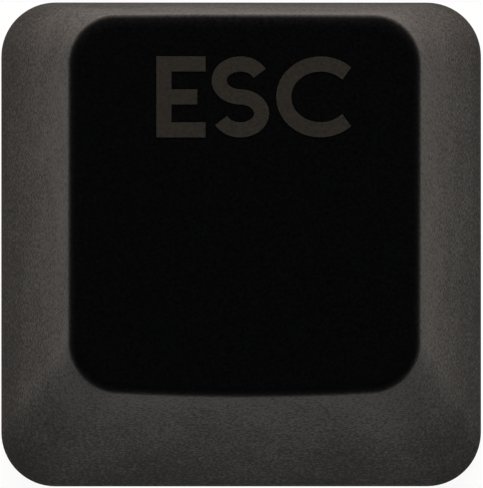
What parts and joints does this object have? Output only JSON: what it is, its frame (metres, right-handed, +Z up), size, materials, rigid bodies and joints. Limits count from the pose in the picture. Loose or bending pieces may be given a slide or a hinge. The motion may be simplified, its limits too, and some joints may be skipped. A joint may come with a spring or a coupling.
{
  "type": "keycap",
  "caption": "Square keycap for a sculpted top row: sloped hollow skirt, dished top that leans to the typist, and a round stem with a cross socket.",
  "frame": {"origin": "middle of the skirt's foot, on the stem's axis", "axes": "+Z up along the stem's axis to the dished top, +Y away from the typist towards the taller back rim, +X to the typist's right"},
  "size_m": [0.0182, 0.0182, 0.0113],
  "materials": {
    "body": "fine even texture, matte black"
  },
  "bodies": {
    "root": {"keycap": "body"}
  },
  "joints": []
}
